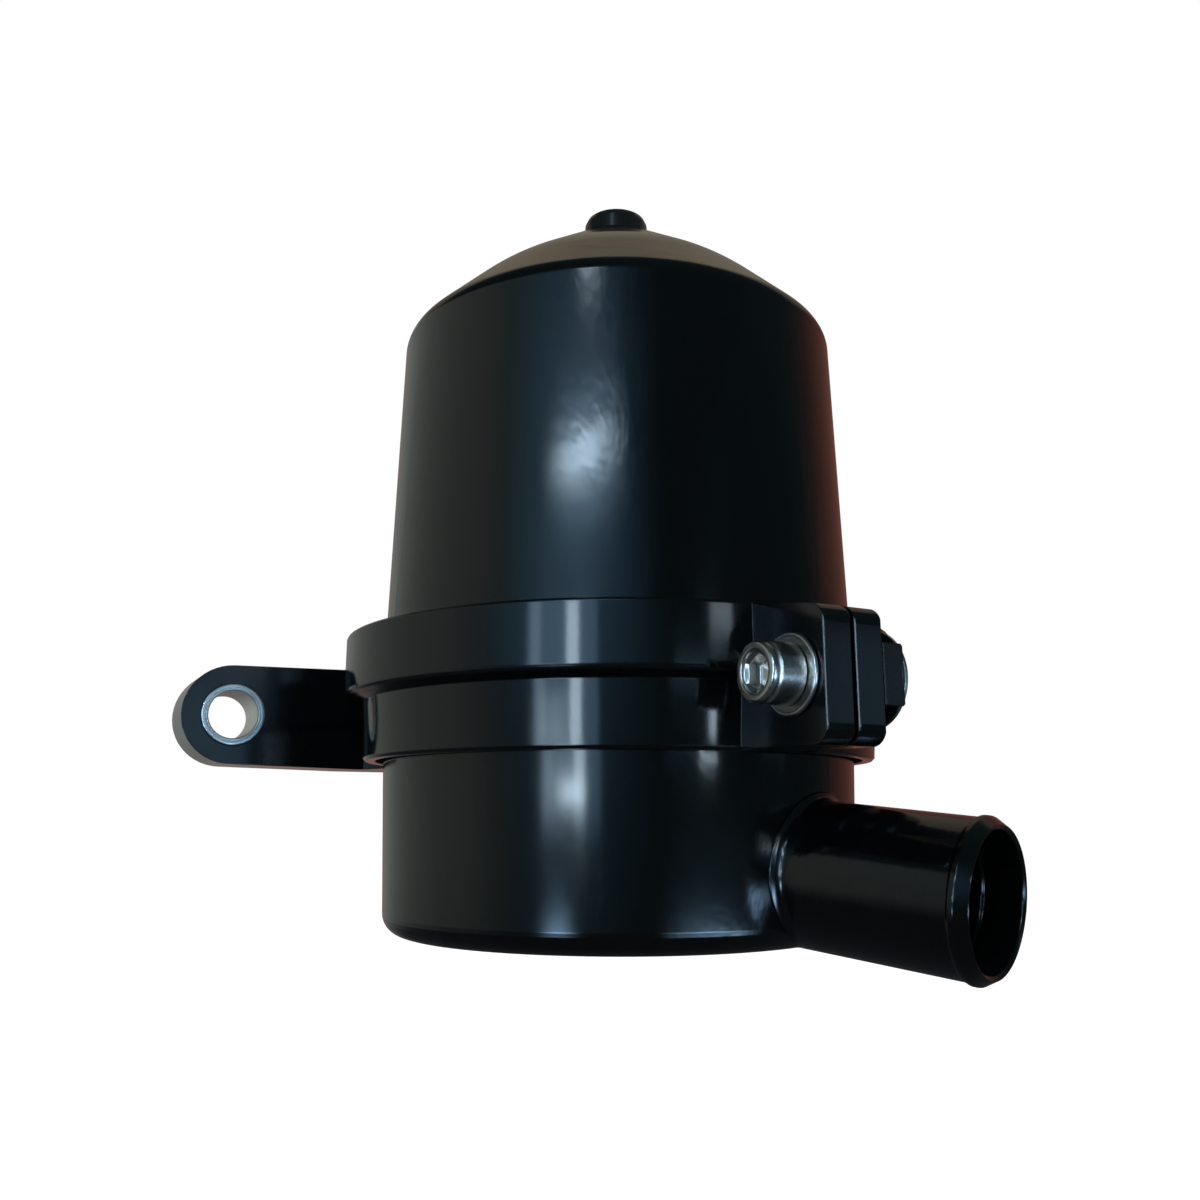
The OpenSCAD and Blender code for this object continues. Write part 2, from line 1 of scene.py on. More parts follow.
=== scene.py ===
import json
import math
import bmesh
import bpy
import numpy as np
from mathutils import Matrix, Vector

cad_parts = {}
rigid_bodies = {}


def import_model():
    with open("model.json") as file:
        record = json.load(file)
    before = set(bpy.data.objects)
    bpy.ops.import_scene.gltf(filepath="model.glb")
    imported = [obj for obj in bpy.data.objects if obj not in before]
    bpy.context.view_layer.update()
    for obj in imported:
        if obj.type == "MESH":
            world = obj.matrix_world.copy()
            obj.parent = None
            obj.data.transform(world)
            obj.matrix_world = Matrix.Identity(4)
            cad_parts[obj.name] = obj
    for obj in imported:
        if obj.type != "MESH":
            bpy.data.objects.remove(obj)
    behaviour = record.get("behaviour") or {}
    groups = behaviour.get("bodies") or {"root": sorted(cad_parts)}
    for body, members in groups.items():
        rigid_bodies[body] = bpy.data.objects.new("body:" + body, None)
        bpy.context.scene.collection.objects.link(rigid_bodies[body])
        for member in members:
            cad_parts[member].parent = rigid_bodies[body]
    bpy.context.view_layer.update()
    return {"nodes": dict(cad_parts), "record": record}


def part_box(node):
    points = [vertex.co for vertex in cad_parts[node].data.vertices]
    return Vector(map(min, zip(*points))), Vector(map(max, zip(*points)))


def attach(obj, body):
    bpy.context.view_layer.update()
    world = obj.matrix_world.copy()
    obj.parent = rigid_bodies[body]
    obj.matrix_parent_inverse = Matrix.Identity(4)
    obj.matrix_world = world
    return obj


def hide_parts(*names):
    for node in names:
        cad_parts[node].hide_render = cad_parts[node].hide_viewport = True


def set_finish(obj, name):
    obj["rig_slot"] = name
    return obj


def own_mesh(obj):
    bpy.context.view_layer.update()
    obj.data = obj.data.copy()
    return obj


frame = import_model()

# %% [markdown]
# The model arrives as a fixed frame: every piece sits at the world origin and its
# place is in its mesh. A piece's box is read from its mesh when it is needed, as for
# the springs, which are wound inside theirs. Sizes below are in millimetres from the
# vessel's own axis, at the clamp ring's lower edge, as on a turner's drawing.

nodes = frame["nodes"]
MM = 0.001
AXIS = np.array([0.0, -75.0, -12.3])   # the vessel's axis at the ring's lower edge, mm

# %% [markdown]
# The camera stands a little below the clamp ring and looks up at the bell, a bit
# over twice the vessel's height away. So near, the bell narrows towards its top
# and the ring shows its lower edge.

# %% Camera
CAMERA_PLACE = np.array([-112.35, -198.57, -10.85]) + AXIS
CAMERA_LOOKS = Vector((0.46874, 0.86093, 0.19769))
eye = bpy.data.cameras.new("camera")
eye.lens, eye.sensor_width = 32.2, 36.0
eye.clip_start, eye.clip_end = 0.01, 20
camera = bpy.data.objects.new("camera", eye)
camera.location = CAMERA_PLACE * MM
camera.rotation_mode = "QUATERNION"
camera.rotation_quaternion = CAMERA_LOOKS.to_track_quat("-Z", "Y")
bpy.context.scene.collection.objects.link(camera)
bpy.context.scene.camera = camera
bpy.context.scene.view_settings.view_transform = "Standard"
print("camera, mm:", CAMERA_PLACE.round(1))

# %% [markdown]
# A node tree is quicker to read when each node is one line. This helper makes a
# node, sets its properties, and fills its sockets: a value is set on the socket, and
# another node's socket is linked to it.

# %% A short way to write node trees
def add(tree, kind, properties=None, **sockets):
    """Adds a shader node. Socket names are given with _ for a space, or as _0, _1 by place."""
    node = tree.nodes.new("ShaderNode" + kind)
    for key, value in (properties or {}).items():
        setattr(node, key, value)
    for key, value in sockets.items():
        key = int(key[1:]) if key[1:].isdigit() else key.replace("_", " ")
        if isinstance(value, bpy.types.NodeSocket):
            tree.links.new(value, node.inputs[key])
        else:
            node.inputs[key].default_value = value
    return node


def empty_tree(data):
    """Switches a material or world to nodes and clears them."""
    data.use_nodes = True
    data.node_tree.nodes.clear()
    return data.node_tree


# %% [markdown]
# Behind the object everything is white. The world is white to the camera, to gloss
# and to glass, and an even pale grey to soft light, so that it fills the shadows
# without washing out the black metal.

# %% World
world = bpy.data.worlds.new("studio")
bpy.context.scene.world = world
tree = empty_tree(world)
path = add(tree, "LightPath")
seen = add(tree, "Math", {"operation": "ADD", "use_clamp": True},
           _0=path.outputs["Is Camera Ray"], _1=path.outputs["Is Glossy Ray"])
seen = add(tree, "Math", {"operation": "ADD", "use_clamp": True},
           _0=seen.outputs[0], _1=path.outputs["Is Transmission Ray"])
FILL = 0.42
mix = add(tree, "MixShader", Fac=seen.outputs[0],
          _1=add(tree, "Background", Color=(FILL, FILL, FILL * 1.02, 1)).outputs[0],
          _2=add(tree, "Background", Color=(1, 1, 1, 1)).outputs[0])
add(tree, "OutputWorld", Surface=mix.outputs[0])
print("world fill", FILL)

# %% [markdown]
# The object hangs by its plate, so the pale floor lies well below it. A big plain
# sheet is enough: it takes the lamps' light and the object's soft shadow, and adds
# just enough white of its own, for the camera alone, to meet the white behind. Gloss
# looks through it, at the dim lower half of the room that is built further on.

# %% Floor
FLOOR_DROP = 300.0                   # below the ring's lower edge, mm
OWN_LIGHT = 0.72
floor_mesh = bpy.data.meshes.new("floor")
side = 6.0
floor_z = (AXIS[2] - FLOOR_DROP) * MM
floor_mesh.from_pydata([(-side, -side, floor_z), (side, -side, floor_z), (side, side, floor_z),
                        (-side, side, floor_z)], [], [(0, 1, 2, 3)])
floor = bpy.data.objects.new("floor", floor_mesh)
bpy.context.scene.collection.objects.link(floor)
paint = bpy.data.materials.new("floor_pale")
tree = empty_tree(paint)
path = add(tree, "LightPath")
pale = add(tree, "BsdfDiffuse", Color=(0.82, 0.82, 0.82, 1))
own = add(tree, "Emission", Color=(1, 1, 1, 1), Strength=OWN_LIGHT)
lit = add(tree, "AddShader", _0=pale.outputs[0], _1=own.outputs[0])
shown = add(tree, "MixShader", Fac=path.outputs["Is Camera Ray"], _1=pale.outputs[0], _2=lit.outputs[0])
clear = add(tree, "BsdfTransparent")
total = add(tree, "MixShader", Fac=path.outputs["Is Glossy Ray"], _1=shown.outputs[0], _2=clear.outputs[0])
add(tree, "OutputMaterial", Surface=total.outputs[0])
floor_mesh.materials.append(paint)
print("floor at", round(floor_z, 3), "m")

# %% [markdown]
# Gloss black shows almost nothing but what it mirrors, so the mirrored room is built
# too: a large dim shell that only gloss can see, nearly black in front, cool on the
# left, dark red on the right, and pale high up behind, where the crown looks.

# %% Room shell
def gloss_only(o):
    """Hides an object from all rays but the glossy ones."""
    o.visible_camera = o.visible_diffuse = o.visible_shadow = False
    o.visible_transmission = o.visible_volume_scatter = False


def sheet_object(name, corners, faces, shader):
    """A stage sheet that only glossy rays see."""
    mesh = bpy.data.meshes.new(name)
    mesh.from_pydata([tuple(c) for c in corners], [], faces)
    mesh.materials.append(shader)
    o = bpy.data.objects.new(name, mesh)
    bpy.context.scene.collection.objects.link(o)
    gloss_only(o)
    return o


ROOM = 2.4                           # the shell's radius, m
FRONT, BEHIND, HIGH_BEHIND = (0.030, 0.052, 0.058), (0.22, 0.195, 0.15), (0.31, 0.265, 0.20)
LEFT, RIGHT = (0.33, 0.36, 0.33), (0.21, 0.085, 0.065)
LOW_LEFT, HIGH_LEFT = (0.09, 0.14, 0.17), (0.15, 0.26, 0.29)     # between the front and the left
BELOW = (0.040, 0.046, 0.052)
room_paint = bpy.data.materials.new("room_dim")
tree = empty_tree(room_paint)
where = add(tree, "SeparateXYZ", Vector=add(tree, "TexCoord").outputs["Object"])


def ramp(value, low, high, first, last):
    """Blends two colours as a value runs from low to high."""
    fac = add(tree, "MapRange", {"interpolation_type": "SMOOTHSTEP"}, Value=value,
              From_Min=low, From_Max=high)
    first = (*first, 1) if isinstance(first, tuple) else first
    last = (*last, 1) if isinstance(last, tuple) else last
    return add(tree, "MixRGB", Fac=fac.outputs[0], Color1=first, Color2=last).outputs[0]


sides = ramp(where.outputs["X"], -0.6, 1.2, LEFT, RIGHT)
front_left = ramp(where.outputs["Z"], 0.1, 0.8, LOW_LEFT, HIGH_LEFT)
front = ramp(where.outputs["X"], -2.2, -1.2, front_left, FRONT)
depth = ramp(where.outputs["Y"], -1.0, 0.6, front, sides)
depth = ramp(where.outputs["Z"], -1.1, -0.1, BELOW, depth)
behind = add(tree, "VectorMath", {"operation": "DOT_PRODUCT"}, _0=add(tree, "TexCoord").outputs["Object"],
             _1=(0.49, 0.87, 0.0)).outputs["Value"]
pale = ramp(where.outputs["Z"], 1.35, 2.0, BEHIND, HIGH_BEHIND)
whole = ramp(where.outputs["Z"], 1.28, 1.42, depth, ramp(behind, 0.5, 0.9, FRONT, pale))
add(tree, "OutputMaterial", Surface=add(tree, "Emission", Color=whole, Strength=1.0).outputs[0])
ball = bmesh.new()
bmesh.ops.create_icosphere(ball, subdivisions=4, radius=ROOM)
room_mesh = bpy.data.meshes.new("room")
ball.to_mesh(room_mesh)
ball.free()
room_mesh.materials.append(room_paint)
room = bpy.data.objects.new("room", room_mesh)
bpy.context.scene.collection.objects.link(room)
gloss_only(room)
print("room shell:", len(room_mesh.polygons), "faces, radius", ROOM, "m")

# %% [markdown]
# The streaks on the black are windows, a door and lit walls, mirrored by curved
# metal. Each is a bright card in the room, placed where the metal looks for it. The
# cards are curved round the axis, so that one is as easy to place as another.

# %% Cards that draw the streaks
CARD_COLUMNS = 13


def card(name, azimuth, low, high, width, strength, colour, soft=False, distance=1.5, tilt=0.0):
    """A curved card on a circle round the axis, from elevation low to high, in degrees.

    Its points lie at the card's azimuth plus or minus half its width, at the distance
    times the tangent of their elevation above the ring. Tilt is how many degrees its
    right end stands higher than its left. A soft card fades smoothly from its middle
    to its edges. It adds its light to what stands behind it.
    """
    shader = bpy.data.materials.new(name)
    t = empty_tree(shader)
    light = add(t, "Emission", Color=(*colour, 1), Strength=strength)
    if soft:
        uv = add(t, "SeparateXYZ", Vector=add(t, "UVMap").outputs[0])
        rise = []
        for k in ("X", "Y"):
            edge = add(t, "Math", {"operation": "PINGPONG"}, _0=uv.outputs[k], _1=0.5)
            rise.append(add(t, "MapRange", {"interpolation_type": "SMOOTHSTEP"}, Value=edge.outputs[0],
                            From_Max=0.5).outputs[0])
        fade = add(t, "Math", {"operation": "MULTIPLY"}, _0=rise[0], _1=rise[1])
        strong = add(t, "Math", {"operation": "MULTIPLY"}, _0=fade.outputs[0], _1=strength)
        t.links.new(strong.outputs[0], light.inputs["Strength"])
    through = add(t, "AddShader", _0=light.outputs[0], _1=add(t, "BsdfTransparent").outputs[0])
    add(t, "OutputMaterial", Surface=through.outputs[0])
    n = CARD_COLUMNS
    u = np.linspace(0, 1, n)
    turn = np.radians(azimuth + (u - 0.5) * width)
    across = np.stack([np.sin(turn), -np.cos(turn)], -1)
    rows = [np.column_stack([across, np.tan(np.radians(e + tilt * (u - 0.5)))]) for e in (low, high)]
    corners = AXIS * MM + distance * np.vstack(rows)
    o = sheet_object(name, corners, [(i, i + 1, i + n + 1, i + n) for i in range(n - 1)], shader)
    uv_of = np.column_stack([np.tile(u, 2), np.repeat([0.0, 1.0], n)])
    corner_of = np.array([loop.vertex_index for loop in o.data.loops])
    o.data.uv_layers.new(name="UVMap").data.foreach_set("uv", uv_of[corner_of].ravel())


COOL, PALE_BLUE, BLUE = (0.67, 0.86, 1.0), (0.40, 0.68, 1.0), (0.29, 0.62, 1.0)
card("card_haze", -48, -16, 46, 84, 1.1, BLUE, True, 1.60)
card("card_window", -50.5, -4.5, 13, 27, 1.7, PALE_BLUE, False, 1.55)
card("card_window_core", -46.3, -3.8, 12.6, 4.6, 9.6, COOL)
card("card_window_side", -60.6, -3.8, 12.6, 4.0, 1.8, COOL)
card("card_window_low", -55, -4.6, 0.4, 26, 5.0, COOL, True, 1.45)
card("card_window_high", -45, 22.6, 24.6, 44, 42.0, COOL, True, tilt=2.2)
card("card_window_glow", -43, 18.5, 28.5, 48, 3.2, PALE_BLUE, True, tilt=2.2)
card("card_window_top", -44, 31.5, 41, 18, 9.0, COOL, True, 1.2)
card("card_sill_left", -56, -22, -9, 20, 24.0, PALE_BLUE, True, 0.70)
card("card_sill_right", 12, -22, -10, 50, 20.0, PALE_BLUE, True, 0.70)
card("card_door_upper", 10.5, 10.0, 12.2, 9, 3.9, COOL)
card("card_door_near", 5.2, -1.1, 2.7, 6.8, 9.5, COOL, False, 0.16)
card("card_window_near", -47, -6.2, -2.0, 16, 17.0, COOL, True, 0.16)
card("card_far_wall", 0.7, 0.5, 8.4, 17.5, 1.0, PALE_BLUE)
card("card_right_wall", 44, 1, 10, 14, 0.40, PALE_BLUE)

# %% [markdown]
# Two soft square lamps light what scatters light: the floor, the rubber, the paper
# and the plastic. Gloss doesn't see them, so bare metal is lit by the room and the
# cards alone, and the lamps add no streak of their own.

# %% Lamps
AIM_HEIGHT = 30.0                    # above the ring's lower edge, mm


def lamp(name, azimuth, elevation, distance, size, watts, colour=(1, 1, 1)):
    """A soft square lamp that points at the middle of the bell; gloss doesn't see it."""
    a, e = math.radians(azimuth), math.radians(elevation)
    light = bpy.data.lights.new(name, "AREA")
    light.size, light.energy, light.color = size, watts, colour
    o = bpy.data.objects.new(name, light)
    target = Vector((AXIS + np.array([0, 0, AIM_HEIGHT])) * MM)
    toward = Vector((math.sin(a) * math.cos(e), -math.cos(a) * math.cos(e), math.sin(e)))
    o.location = target + distance * toward
    o.rotation_mode = "QUATERNION"
    o.rotation_quaternion = (target - o.location).to_track_quat("-Z", "Y")
    o.visible_glossy = False
    bpy.context.scene.collection.objects.link(o)


lamp("lamp_front", -50, 24, 1.3, 0.30, 4, COOL)
lamp("lamp_above", 40, 62, 1.6, 0.9, 9, (1.0, 0.97, 0.93))
print("lamps:", len(bpy.data.lights))

# %% [markdown]
# Nearly every piece here comes off a lathe, so one small kit makes them all. A
# turned part is a line of corners, each broken by a small radius as a real tool
# leaves it, swept round an axis. It is the broken edge that catches the light: a
# sharp one would look cut out of paper.

# %% A small lathe
SAME_PLACE = 3e-7                    # points nearer than this are one, m


def eased_line(corners, steps=6):
    """Turns corners (across, along, radius) into a line whose corners are arcs.

    With u and v the directions from a corner to its neighbours and h half the angle
    between them, the arc's middle lies along u + v at radius / sin h. The arc swings
    from the touching point on one side to that on the other.
    """
    c = np.array(corners, float)
    p, r = c[1:-1, :2], c[1:-1, 2:]
    u, v = c[:-2, :2] - p, c[2:, :2] - p
    u, v = u / np.linalg.norm(u, axis=1, keepdims=True), v / np.linalg.norm(v, axis=1, keepdims=True)
    half = np.arccos(np.clip((u * v).sum(1, keepdims=True), -1, 1)) / 2
    middle = p + (u + v) / (2 * np.cos(half)) * r / np.sin(half)
    first, last = p + u * r / np.tan(half) - middle, p + v * r / np.tan(half) - middle
    swing = np.pi - 2 * half
    t = np.linspace(0, 1, steps + 1)[:, None, None]
    arc = middle + (np.sin((1 - t) * swing) * first + np.sin(t * swing) * last) / np.sin(swing)
    line = np.vstack([c[:1, :2], arc.transpose(1, 0, 2).reshape(-1, 2), c[-1:, :2]])
    return line[np.r_[True, np.linalg.norm(np.diff(line, axis=0), axis=1) > 1e-5]]


def spokes(turns, axis, start):
    """Unit arrows round an axis: cos a times the start direction plus sin a times the one beside it."""
    a = np.linspace(0, 2 * np.pi, turns, endpoint=False)
    return np.cos(a)[:, None] * start + np.sin(a)[:, None] * np.cross(axis, start)


def turned(across, along, turns, origin=(0, 0, 0), axis=(0, 0, 1), start=(1, 0, 0)):
    """Sweeps a line round an axis: point = origin + along * axis + across * arrow.

    Across and along are one value a row, or a whole grid (rows, turns) where the
    shape changes on its way round.
    """
    axis, start = np.array(axis, float), np.array(start, float)
    across, along = (np.broadcast_to(v if v.ndim == 2 else v[:, None], (len(v), turns))
                     for v in (across, along))
    return np.array(origin) + along[..., None] * axis + across[..., None] * spokes(turns, axis, start)


def skin(name, grid, node, body, slot):
    """Skins a grid (rows, turns, 3) as one closed mesh that stands for a node.

    Each face joins two rows and two columns, and the last column joins the first.
    Points that coincide, on the axis or where the line comes home, are merged.
    """
    rows, turns = grid.shape[:2]
    spot = np.arange(rows * turns).reshape(rows, turns)
    after = np.roll(spot, -1, axis=1)
    faces = np.stack([spot[:-1], after[:-1], after[1:], spot[1:]], -1).reshape(-1, 4)
    mesh = bpy.data.meshes.new(name)
    mesh.from_pydata(((grid + AXIS) * MM).reshape(-1, 3).tolist(), [], faces.tolist())
    work = bmesh.new()
    work.from_mesh(mesh)
    bmesh.ops.remove_doubles(work, verts=work.verts, dist=SAME_PLACE)
    bmesh.ops.recalc_face_normals(work, faces=work.faces)
    open_edges = sum(not e.is_manifold for e in work.edges)
    work.to_mesh(mesh)
    work.free()
    mesh.polygons.foreach_set("use_smooth", np.ones(len(mesh.polygons), bool))
    piece = bpy.data.objects.new(name, mesh)
    bpy.context.scene.collection.objects.link(piece)
    piece.modifiers.new("flat_faces_stay_flat", "WEIGHTED_NORMAL").keep_sharp = True
    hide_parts(node)
    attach(piece, body)
    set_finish(piece, slot)
    print(name, len(mesh.polygons), "faces, open edges:", open_edges)
    return piece


# %% [markdown]
# The bell is the vessel's tall upper half. On the real thing it is cast or deep
# drawn and then turned: a wall with a little draft, a tight shoulder, a crown in two
# cones that melt into each other, and a flat seat for the cap. Below, it ends in half
# of the flange that the clamp ring grips.

# %% Bell
VESSEL_R, WALL, JOINT_Z = 49.0, 3.0, 17.4
FLANGE_R, FLANGE_T, FLANK_H = 53.5, 2.4, 4.5 * math.tan(math.radians(20))
SHOULDER_Z, NECK_Z, NECK_R = 89.9, 118.9, 9.4
BELL_SLOPE = math.tan(math.radians(1.75))
SEAT_Z = 101.9                       # where the spring bears on the crown's inside
MOUTH_R, BEND_R, BEND_RISE = 46.0, 32.2, 13.8
VENT_R, CEILING_Z, BOSS_IN, BOSS_OUT = 4.05, 110.5, 12.0, 19.0


def pulled_in(before, corner, after, wall):
    """Moves a corner inward so that both its sides move in by the wall."""
    u, v = (np.subtract(x, corner) / np.linalg.norm(np.subtract(x, corner)) for x in (before, after))
    half = math.acos(float(u @ v)) / 2
    return np.array(corner) + (u + v) / (2 * math.cos(half)) * wall / math.sin(half)


flank_z = JOINT_Z + FLANGE_T + FLANK_H
foot = (VESSEL_R - (flank_z - JOINT_Z) * BELL_SLOPE, flank_z)
shoulder = (VESSEL_R - (SHOULDER_Z - JOINT_Z) * BELL_SLOPE, SHOULDER_Z)
bend, neck = (BEND_R, SHOULDER_Z + BEND_RISE), (NECK_R, NECK_Z)
shoulder_in, bend_in = pulled_in(foot, shoulder, bend, WALL), pulled_in(shoulder, bend, neck, WALL)
crown_fall = (neck[1] - bend[1]) / (bend[0] - neck[0])
pocket_top = bend_in[1] + (bend_in[0] - BOSS_OUT) * crown_fall
bell_line = eased_line([
    (MOUTH_R, JOINT_Z, 0), (FLANGE_R, JOINT_Z, 0.2), (FLANGE_R, JOINT_Z + FLANGE_T, 0.3), (*foot, 0.8),
    (*shoulder, 4.5), (*bend, 60.0), (*neck, 0.5), (VENT_R, NECK_Z, 0.2), (VENT_R, CEILING_Z, 0.1),
    (BOSS_IN, CEILING_Z, 0.5), (BOSS_IN, SEAT_Z, 0.3), (BOSS_OUT, SEAT_Z, 0.5), (BOSS_OUT, pocket_top, 0.8),
    (*bend_in, 57.0), (*shoulder_in, 1.5), (MOUTH_R, JOINT_Z, 0)], steps=10)
skin("bell", turned(bell_line[:, 0], bell_line[:, 1], 288), "upper_housing", "vessel", "housing_black")

# %% [markdown]
# The outlet is a short tube that leaves the bowl low down, falls a little on its way
# out and ends in a bead, so that a pushed-on hose can't slip off. Its root runs into
# the bowl over a small fillet, as a weld or a casting would. The foot of the fillet
# isn't a circle: it is the line where a slanting tube meets a cone, and it is found
# by walking in along the tube's direction until the bowl is met.

# %% Outlet tube
OUTLET_TURN, OUTLET_SLOPE = math.radians(20.4), math.radians(5.8)
OUTLET_START = np.array([0, 0, -16.2])
TUBE_R, BORE_R, REACH = 13.05, 10.65, 79.5
BEAD_R, FOOT = 13.44, 0.15
BEAD_START, BEAD_TOP, BEAD_END = 76.1, 76.6, 77.4
STRAIGHT_FROM, RECESS_END, RECESS_R, FACE_R = 70.0, 72.4, 11.35, 12.1
CLEAR_OF_BOWL = 66.0                 # a place along the tube that is well outside the bowl
WALK_STEPS = 120
BOWL_FLOOR, BOWL_CORNER, BOWL_DRAFT = -33.5, 4.2, math.radians(1.85)
flat = np.array([math.sin(OUTLET_TURN), -math.cos(OUTLET_TURN), 0])
outward = math.cos(OUTLET_SLOPE) * flat - np.array([0, 0, math.sin(OUTLET_SLOPE)])
upward = math.sin(OUTLET_SLOPE) * flat + np.array([0, 0, math.cos(OUTLET_SLOPE)])


def bowl_distance(points):
    """How far points lie outside the bowl, a cone with a flat floor and a rounded corner.

    Beyond-wall and below-floor distances are each grown by the corner's radius; their
    joint length, less that radius, is the distance.
    """
    wall_r = VESSEL_R - (JOINT_Z - points[..., 2]) * math.tan(BOWL_DRAFT)
    beyond = (np.hypot(points[..., 0], points[..., 1]) - wall_r) * math.cos(BOWL_DRAFT) + BOWL_CORNER
    below = BOWL_FLOOR - points[..., 2] + BOWL_CORNER
    outside = np.hypot(np.maximum(beyond, 0), np.maximum(below, 0))
    return outside + np.minimum(np.maximum(beyond, below), 0) - BOWL_CORNER


def meets_bowl(across, turns):
    """Distance along the tube at which a grid of parallel lines meets the bowl."""
    arrows = spokes(turns, outward, upward)
    along = np.full(np.broadcast_shapes(across.shape, (len(across), turns)), CLEAR_OF_BOWL)
    for _ in range(WALK_STEPS):
        along = along - bowl_distance(OUTLET_START + along[..., None] * outward + across[..., None] * arrows)
    return along


TURNS = 240
FILLET, LEAST_FILLET = 1.5, 0.12
OFF_BOWL = 0.05                      # how far the root stands outside the bowl, mm
angle = np.linspace(0, 2 * np.pi, TURNS, endpoint=False)
fade = np.clip((np.cos(angle) + 0.95) / 0.6, 0, 1)
fillet = LEAST_FILLET + (FILLET - LEAST_FILLET) * fade * fade * (3 - 2 * fade)   # least under the floor
foot_rise = np.r_[0, 0.6, 0.9, np.ones(8)][:, None] * FOOT           # the small step the fillet starts from
swing = np.r_[0, np.linspace(0, np.pi / 2, 10)][:, None]
root_across = TUBE_R + fillet * (1 - np.sin(swing))
root_along = meets_bowl(root_across, TURNS) + OFF_BOWL + foot_rise + fillet * (1 - np.cos(swing))
tube_line = eased_line([
    (TUBE_R, STRAIGHT_FROM, 0), (TUBE_R, BEAD_START, 0.2), (BEAD_R, BEAD_TOP, 0.2), (BEAD_R, BEAD_END, 0.4),
    (FACE_R, REACH - 0.02, 0.12), (RECESS_R, REACH - 0.45, 0.15), (RECESS_R, RECESS_END, 0.15),
    (BORE_R, RECESS_END, 0.25), (BORE_R, CLEAR_OF_BOWL, 0)], steps=5)
seat_across = np.linspace(0, 1, 6)[:, None] * (root_across[:1] - BORE_R) + BORE_R
seat_along = meets_bowl(seat_across, TURNS) + OFF_BOWL
across = np.vstack([root_across, np.repeat(tube_line[:, :1], TURNS, 1), seat_across])
along = np.vstack([root_along, np.repeat(tube_line[:, 1:], TURNS, 1), seat_along])
skin("outlet_tube", turned(across, along, TURNS, OUTLET_START, outward, upward),
     "outlet_spigot", "vessel", "housing_black")
print("root of the tube, mm along:", root_along.min().round(1), "to", root_along.max().round(1))

# %% [markdown]
# The clamp bolt is a polished cap screw. Its head has a rolled lip round a hexagon
# socket, then a narrow waist, then the plain barrel. The socket is a hexagon deep
# down and opens to a circle at the lip, so the radius blends from one to the other.

# %% Clamp bolt
BOLT_PLACE = (0, -66.0, 11.0)
HEAD_END, HEAD_SEAT, BOLT_END = -13.3, -6.8, 11.4
SOCKET_HALF, SOCKET_R = 2.5, 2.62
bolt_line = np.vstack([
    [(0, HEAD_END + 4.1), (1.6, HEAD_END + 3.3)],
    eased_line([(2.2, HEAD_END + 3.2, 0), (SOCKET_R, HEAD_END + 3.15, 0.25),
                (SOCKET_R, HEAD_END + 1.1, 0.3),
                (3.3, HEAD_END + 0.6, 0.35), (3.45, HEAD_END, 0.45), (4.85, HEAD_END, 0.62),
                (4.85, HEAD_END + 1.35, 0.55), (4.55, HEAD_END + 1.5, 0.1), (5.0, HEAD_END + 1.85, 0.2),
                (5.0, HEAD_SEAT - 0.05, 0.25), (3.0, HEAD_SEAT - 0.05, 0.1), (3.0, BOLT_END - 0.6, 0.2),
                (2.4, BOLT_END, 0.2), (0, BOLT_END, 0)], steps=6)])
a = np.linspace(0, 2 * np.pi, 192, endpoint=False)
facet = np.mod(a, np.pi / 3) - np.pi / 6
hexagon = SOCKET_HALF / np.cos(facet) / SOCKET_R
depth_in = bolt_line[:, 1] - HEAD_END
six_sided = np.clip((depth_in - 0.5) / 0.7, 0, 1) * (bolt_line[:, 0] < 3.4) * (depth_in < 5)
across = bolt_line[:, :1] * (1 + six_sided[:, None] * (hexagon - 1))
skin("cap_screw", turned(across, bolt_line[:, 1], 192, BOLT_PLACE, (1, 0, 0), (0, 0, 1)),
     "clamp_bolt", "bolt", "bolt_steel")

# %% [markdown]
# The washer under the head is stamped, so its rim is rolled over and its face is
# flat. Rim and face mirror different parts of the room, which is why it reads as a
# bright ring round a grey one.

# %% Washer under the head
WASHER_IN, WASHER_OUT, WASHER_BACK = 3.3, 6.7, -5.95
ROLLED_IN, FLAT_OUT, FLAT_IN = 6.05, 5.95, 3.45
washer_line = eased_line([
    (WASHER_IN, WASHER_BACK, 0), (WASHER_OUT, WASHER_BACK, 0.3), (WASHER_OUT, HEAD_SEAT, 0.42),
    (ROLLED_IN, HEAD_SEAT, 0.1), (FLAT_OUT, HEAD_SEAT + 0.1, 0.1), (FLAT_IN, HEAD_SEAT + 0.1, 0.1),
    (WASHER_IN, HEAD_SEAT + 0.25, 0.05), (WASHER_IN, WASHER_BACK, 0)])
skin("rolled_washer",
     turned(washer_line[:, 0], washer_line[:, 1], 160, BOLT_PLACE, (1, 0, 0), (0, 0, 1)),
     "head_washer", "clamp", "bolt_steel")

# %% [markdown]
# A steel bush is pressed into each end of the mounting plate. Its face shows two
# bright rings with a fine dark line between them, where the liner sits in its
# sleeve, and a bevel leads into the hole.

# %% Bushes
PLATE_BACK, PLATE_Z, BUSH_LENGTH, BUSH_X = 75.0, 12.3, 15.4, 68.0
bush_line = eased_line([
    (5.5, 0.3, 0), (5.8, 0, 0.05), (7.1, 0, 0.1), (7.1, BUSH_LENGTH, 0.3), (6.26, BUSH_LENGTH, 0.06),
    (6.2, BUSH_LENGTH - 0.35, 0.03), (6.1, BUSH_LENGTH - 0.35, 0.03), (6.04, BUSH_LENGTH - 0.05, 0.06),
    (5.72, BUSH_LENGTH - 0.05, 0.12), (5.5, BUSH_LENGTH - 0.5, 0.1), (5.5, 0.3, 0)])
for name, node, x in (("bush_near", "mount_bush_left", -BUSH_X), ("bush_far", "mount_bush_right", BUSH_X)):
    skin(name, turned(bush_line[:, 0], bush_line[:, 1], 160, (x, PLATE_BACK, PLATE_Z), (0, -1, 0), (0, 0, 1)),
         node, "clamp", "bush_steel")
